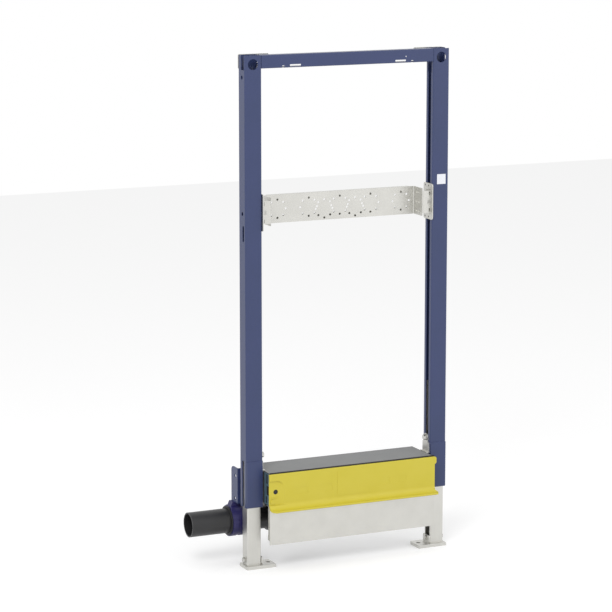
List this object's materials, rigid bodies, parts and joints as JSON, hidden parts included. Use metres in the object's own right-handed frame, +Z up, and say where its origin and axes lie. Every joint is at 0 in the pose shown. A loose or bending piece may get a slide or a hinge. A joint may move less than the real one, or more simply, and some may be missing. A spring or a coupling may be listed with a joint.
{
  "type": "shower installation frame",
  "caption": "Open wall frame for a shower: blue channel posts on telescopic zinc legs, a sliding drilled fitting plate, and a low drain unit with a yellow cover and side outlet.",
  "frame": {"origin": "middle of the underside of the left foot plate, under the left leg's axis", "axes": "+X from the left leg to the right leg, +Y from front to back, +Z up"},
  "size_m": [0.6118, 0.163, 1.151],
  "materials": {
    "blue_powder_coat": "satin powder coat",
    "zinc_steel": "smooth zinc plate",
    "zinc_bolt": "bright zinc plate",
    "white_label": "printed film",
    "grey_plastic": "matte moulded",
    "slate_plastic": "matte moulded",
    "yellow_plastic": "satin moulded",
    "black_plastic": "satin extruded",
    "violet_blue_plastic": "satin moulded",
    "black_rubber": "matte"
  },
  "bodies": {
    "left_leg": {"left_leg": "zinc_steel", "left_foot": "zinc_steel", "left_foot_bolt": "zinc_bolt"},
    "frame": {"left_post": "blue_powder_coat", "right_post": "blue_powder_coat", "top_rail": "blue_powder_coat", "left_sleeve": "blue_powder_coat", "right_sleeve": "blue_powder_coat", "left_wall_anchor": "zinc_steel", "right_wall_anchor": "zinc_steel", "left_anchor_bolt": "zinc_bolt", "right_anchor_bolt": "zinc_bolt", "height_mark": "white_label", "drain_box": "grey_plastic", "drain_seal": "black_rubber", "drain_cover": "yellow_plastic", "front_sheet": "zinc_steel", "left_side_plate": "slate_plastic", "right_side_plate": "slate_plastic", "left_drain_bracket": "zinc_steel", "right_drain_bracket": "zinc_steel", "left_drain_bolt": "zinc_bolt", "right_drain_bolt": "zinc_bolt", "trap_body": "black_plastic", "outlet_pipe": "black_plastic", "pipe_clamp": "violet_blue_plastic", "clamp_liner": "black_rubber", "clamp_bracket": "blue_powder_coat"},
    "right_leg": {"right_leg": "zinc_steel", "right_foot": "zinc_steel", "right_foot_bolt": "zinc_bolt"},
    "fitting_plate": {"fitting_plate": "zinc_steel", "left_plate_bolt": "zinc_bolt", "right_plate_bolt": "zinc_bolt"}
  },
  "joints": [
    {"name": "frame_height", "type": "slide", "parent": "left_leg", "child": "frame", "axis": [0, 0, 1], "range_m": [-0.035, 0.14]},
    {"name": "right_leg_reach", "type": "slide", "parent": "frame", "child": "right_leg", "axis": [0, 0, -1], "range_m": [-0.035, 0.14]},
    {"name": "plate_height", "type": "slide", "parent": "frame", "child": "fitting_plate", "axis": [0, 0, 1], "range_m": [-0.34, 0.24]}
  ]
}
